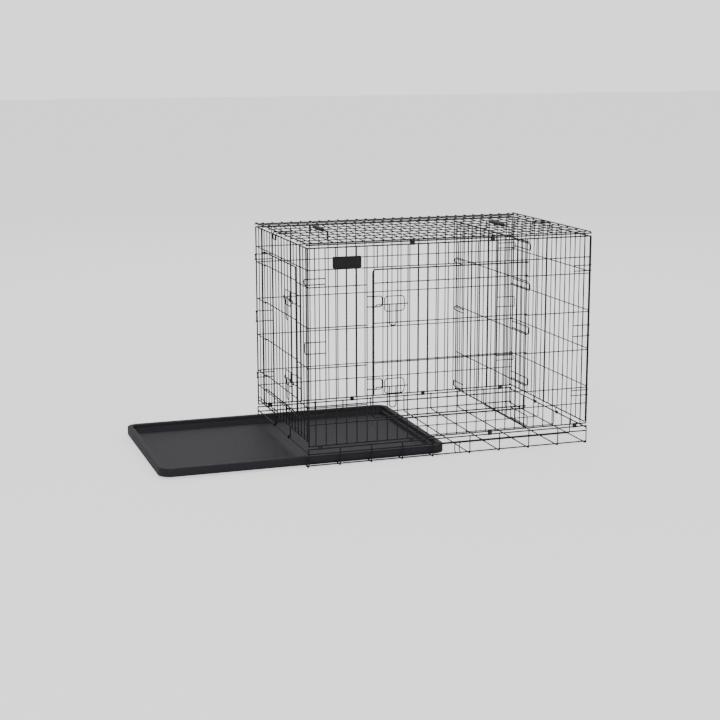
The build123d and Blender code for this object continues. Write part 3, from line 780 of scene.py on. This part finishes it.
def name_plate():
    """A blank plate with two hooks that clip over grid wires."""
    shape = Shape()
    wires = long_wires()
    left, right = wires[2], wires[4]
    low, high = PLATE_LOW, PLATE_HIGH
    v = SIDE_FACE + 2 * MESH_R + CLEAR
    cx = (left + right) / 2 + 2
    cz = (low + high) / 2
    rows = ((0.4, 0.0), (0.0, 0.4), (0.0, 2.4), (0.5, 2.9), (1.0, 3.0), (2.8, 3.0), (3.3, 2.8),
            (3.6, 2.3), (4.2, 2.2))
    rings = []
    for inset, out in rows:
        flat = rounded_ring(PLATE_LENGTH - 2 * inset, high - low - 2 * inset, max(5 - inset, 1.2), 0.0,
                            count=8)
        rings.append([Vector((cx + p.x, -(v + out), cz + p.y)) for p in flat])
    shape.rings(rings)
    for u in (left, right):
        outline = [(-3.6, 2.0)]
        for k in range(13):
            angle = math.radians(135 + 270 * k / 12)
            outline.append((1.72 * math.cos(angle), 1.72 * math.sin(angle)))
        outline += [(3.6, 2.0), (3.6, -4.0), (-3.6, -4.0)]
        rings = []
        for z in (low + 6.0, high - 6.0):
            rings.append([Vector((u + px, -(SIDE_FACE + MESH_R) + py, z)) for px, py in outline])
        shape.rings(rings)
    finish_piece("name_plate", shape, 35.0)


# ---- everything -----------------------------------------------------------------------
def build():
    wires = long_wires()
    ends = end_wires(END_EDGE)
    front_opening, front_free = (wires[5], wires[21]), wires[5] + 22.6
    left_opening, left_free = (ends[3], ends[14]), -190.0
    front_skin = SIDE_FACE - EYE_CLEAR + 2 * MESH_R
    left_skin = END_FACE - EYE_CLEAR + 2 * MESH_R
    floor_basket()
    floor_crimps()
    centre_loop()
    clip_bands("front_base_clips", FRONT, BASE_CLIP_U, RIM_Z, SIDE_HINGE_Z)
    clip_bands("back_base_clips", BACK, BASE_CLIP_U, RIM_Z, SIDE_HINGE_Z)
    clip_bands("lid_hinge_clips", FRONT, LID_CLIP_U, SIDE_TOP_Z, LID_HINGE_Z)
    long_wall("front_panel", FRONT, front_opening)
    long_wall("back_panel", BACK, None)
    corner_keepers("front_corner_keepers", FRONT)
    corner_keepers("back_corner_keepers", BACK)
    catch_loops("front_door_catches", FRONT, SIDE_FACE, front_skin, front_free, wires[5] - 2.4)
    catch_loops("left_door_catches", LEFT, END_FACE, left_skin, left_free, ends[2] - 3)
    name_plate()
    end_wall("left_end_panel", LEFT, LEFT_BOTTOM_Z, (LEFT_EXTRA_Z, DOOR_BOTTOM_Z, DOOR_TOP_Z),
             SPLIT_ROWS, left_opening)
    end_wall("right_end_panel", RIGHT, RIGHT_BOTTOM_Z, RIGHT_ROWS, (), None)
    end_hinge_legs("left_end_hinge_legs", LEFT, LEFT_RING_Z, LEFT_BOTTOM_Z)
    end_hinge_legs("right_end_hinge_legs", RIGHT, RIGHT_RING_Z, RIGHT_BOTTOM_Z)
    door("front_door", FRONT, SIDE_FACE, front_free, wires[21], wires[7:21])
    door("left_door", LEFT, END_FACE, left_free, ends[14], ends[5:14])
    for wall, place, skin, free in (("front", FRONT, front_skin, front_free),
                                    ("left", LEFT, left_skin, left_free)):
        guide_loops(wall + "_bolt_guides", place, skin, free)
        bolt(wall + "_upper_bolt", place, skin, free, LATCH_Z[0])
        bolt(wall + "_lower_bolt", place, skin, free, LATCH_Z[1])
    lid()
    lid_hooks()
    for side, x, (low_y, high_y) in zip(("left", "right"), HANDLE_X, HANDLE_Y):
        handle(side, x, low_y, high_y)
    divider()
    divider_hooks("divider_front_hooks", FRONT_HOOKS, -210.0, -354.0)
    divider_hooks("divider_back_hooks", BACK_HOOKS, 270.0, 362.0)
    tray()


build()


# ---- studio ---------------------------------------------------------------------------
def studio():
    """A pale floor and world that look bright to the camera but light the crate softly."""
    mat = bpy.data.materials.new("pale_floor")
    mat.use_nodes = True
    nodes, links = mat.node_tree.nodes, mat.node_tree.links
    shader = nodes["Principled BSDF"]
    shader.inputs["Base Color"].default_value = (0.9, 0.9, 0.9, 1)
    shader.inputs["Roughness"].default_value = 0.9
    shader.inputs["Specular IOR Level"].default_value = 0.1
    shader.inputs["Emission Color"].default_value = (1, 1, 1, 1)
    seen = nodes.new("ShaderNodeLightPath")
    glow = nodes.new("ShaderNodeMath")
    glow.operation = "MULTIPLY"
    glow.inputs[1].default_value = FLOOR_GLOW
    links.new(seen.outputs["Is Camera Ray"], glow.inputs[0])
    links.new(glow.outputs["Value"], shader.inputs["Emission Strength"])
    mesh = bpy.data.meshes.new("floor")
    corners = ((-1, -FLOOR_X), (1, -FLOOR_X), (1, FLOOR_DEEP), (-1, FLOOR_DEEP))
    mesh.from_pydata([(side * FLOOR_X, y, -FLOOR_DROP) for side, y in corners], [], [(0, 1, 2, 3)])
    mesh.materials.append(mat)
    floor = bpy.data.objects.new("floor", mesh)
    bpy.context.scene.collection.objects.link(floor)
    world = bpy.context.scene.world or bpy.data.worlds.new("studio")
    bpy.context.scene.world = world
    world.use_nodes = True
    nodes, links = world.node_tree.nodes, world.node_tree.links
    background = nodes["Background"]
    background.inputs["Color"].default_value = (1, 1, 1, 1)
    seen = nodes.new("ShaderNodeLightPath")
    glow = nodes.new("ShaderNodeMapRange")
    glow.inputs["To Min"].default_value = ROOM_LIGHT
    glow.inputs["To Max"].default_value = BACKDROP_SEEN
    links.new(seen.outputs["Is Camera Ray"], glow.inputs["Value"])
    links.new(glow.outputs["Result"], background.inputs["Strength"])
    for name, place, energy in LIGHTS:
        light = bpy.data.lights.new(name, "AREA")
        light.energy = energy
        light.size = LIGHT_SIZE
        lamp = bpy.data.objects.new(name, light)
        lamp.location = place
        aim = Vector(LIGHT_AIM) - Vector(place)
        lamp.rotation_euler = aim.to_track_quat("-Z", "Y").to_euler()
        bpy.context.scene.collection.objects.link(lamp)


def camera():
    """The camera, placed by azimuth, elevation and roll."""
    azimuth, elevation, roll = (math.radians(a) for a in CAMERA_ANGLES)
    back = Vector((math.sin(azimuth) * math.cos(elevation),
                   -math.cos(azimuth) * math.cos(elevation), math.sin(elevation)))
    right = Vector((math.cos(azimuth), math.sin(azimuth), 0))
    up = back.cross(right)
    turned_right = right * math.cos(roll) + up * math.sin(roll)
    turned_up = up * math.cos(roll) - right * math.sin(roll)
    data = bpy.data.cameras.new("camera")
    data.lens = CAMERA_LENS
    data.sensor_width = 36.0
    data.clip_end = 100.0
    cam = bpy.data.objects.new("camera", data)
    rotation = Matrix((turned_right, turned_up, back)).transposed()
    cam.matrix_world = Matrix.Translation(CAMERA_PLACE) @ rotation.to_4x4()
    bpy.context.scene.collection.objects.link(cam)
    bpy.context.scene.camera = cam


studio()
camera()
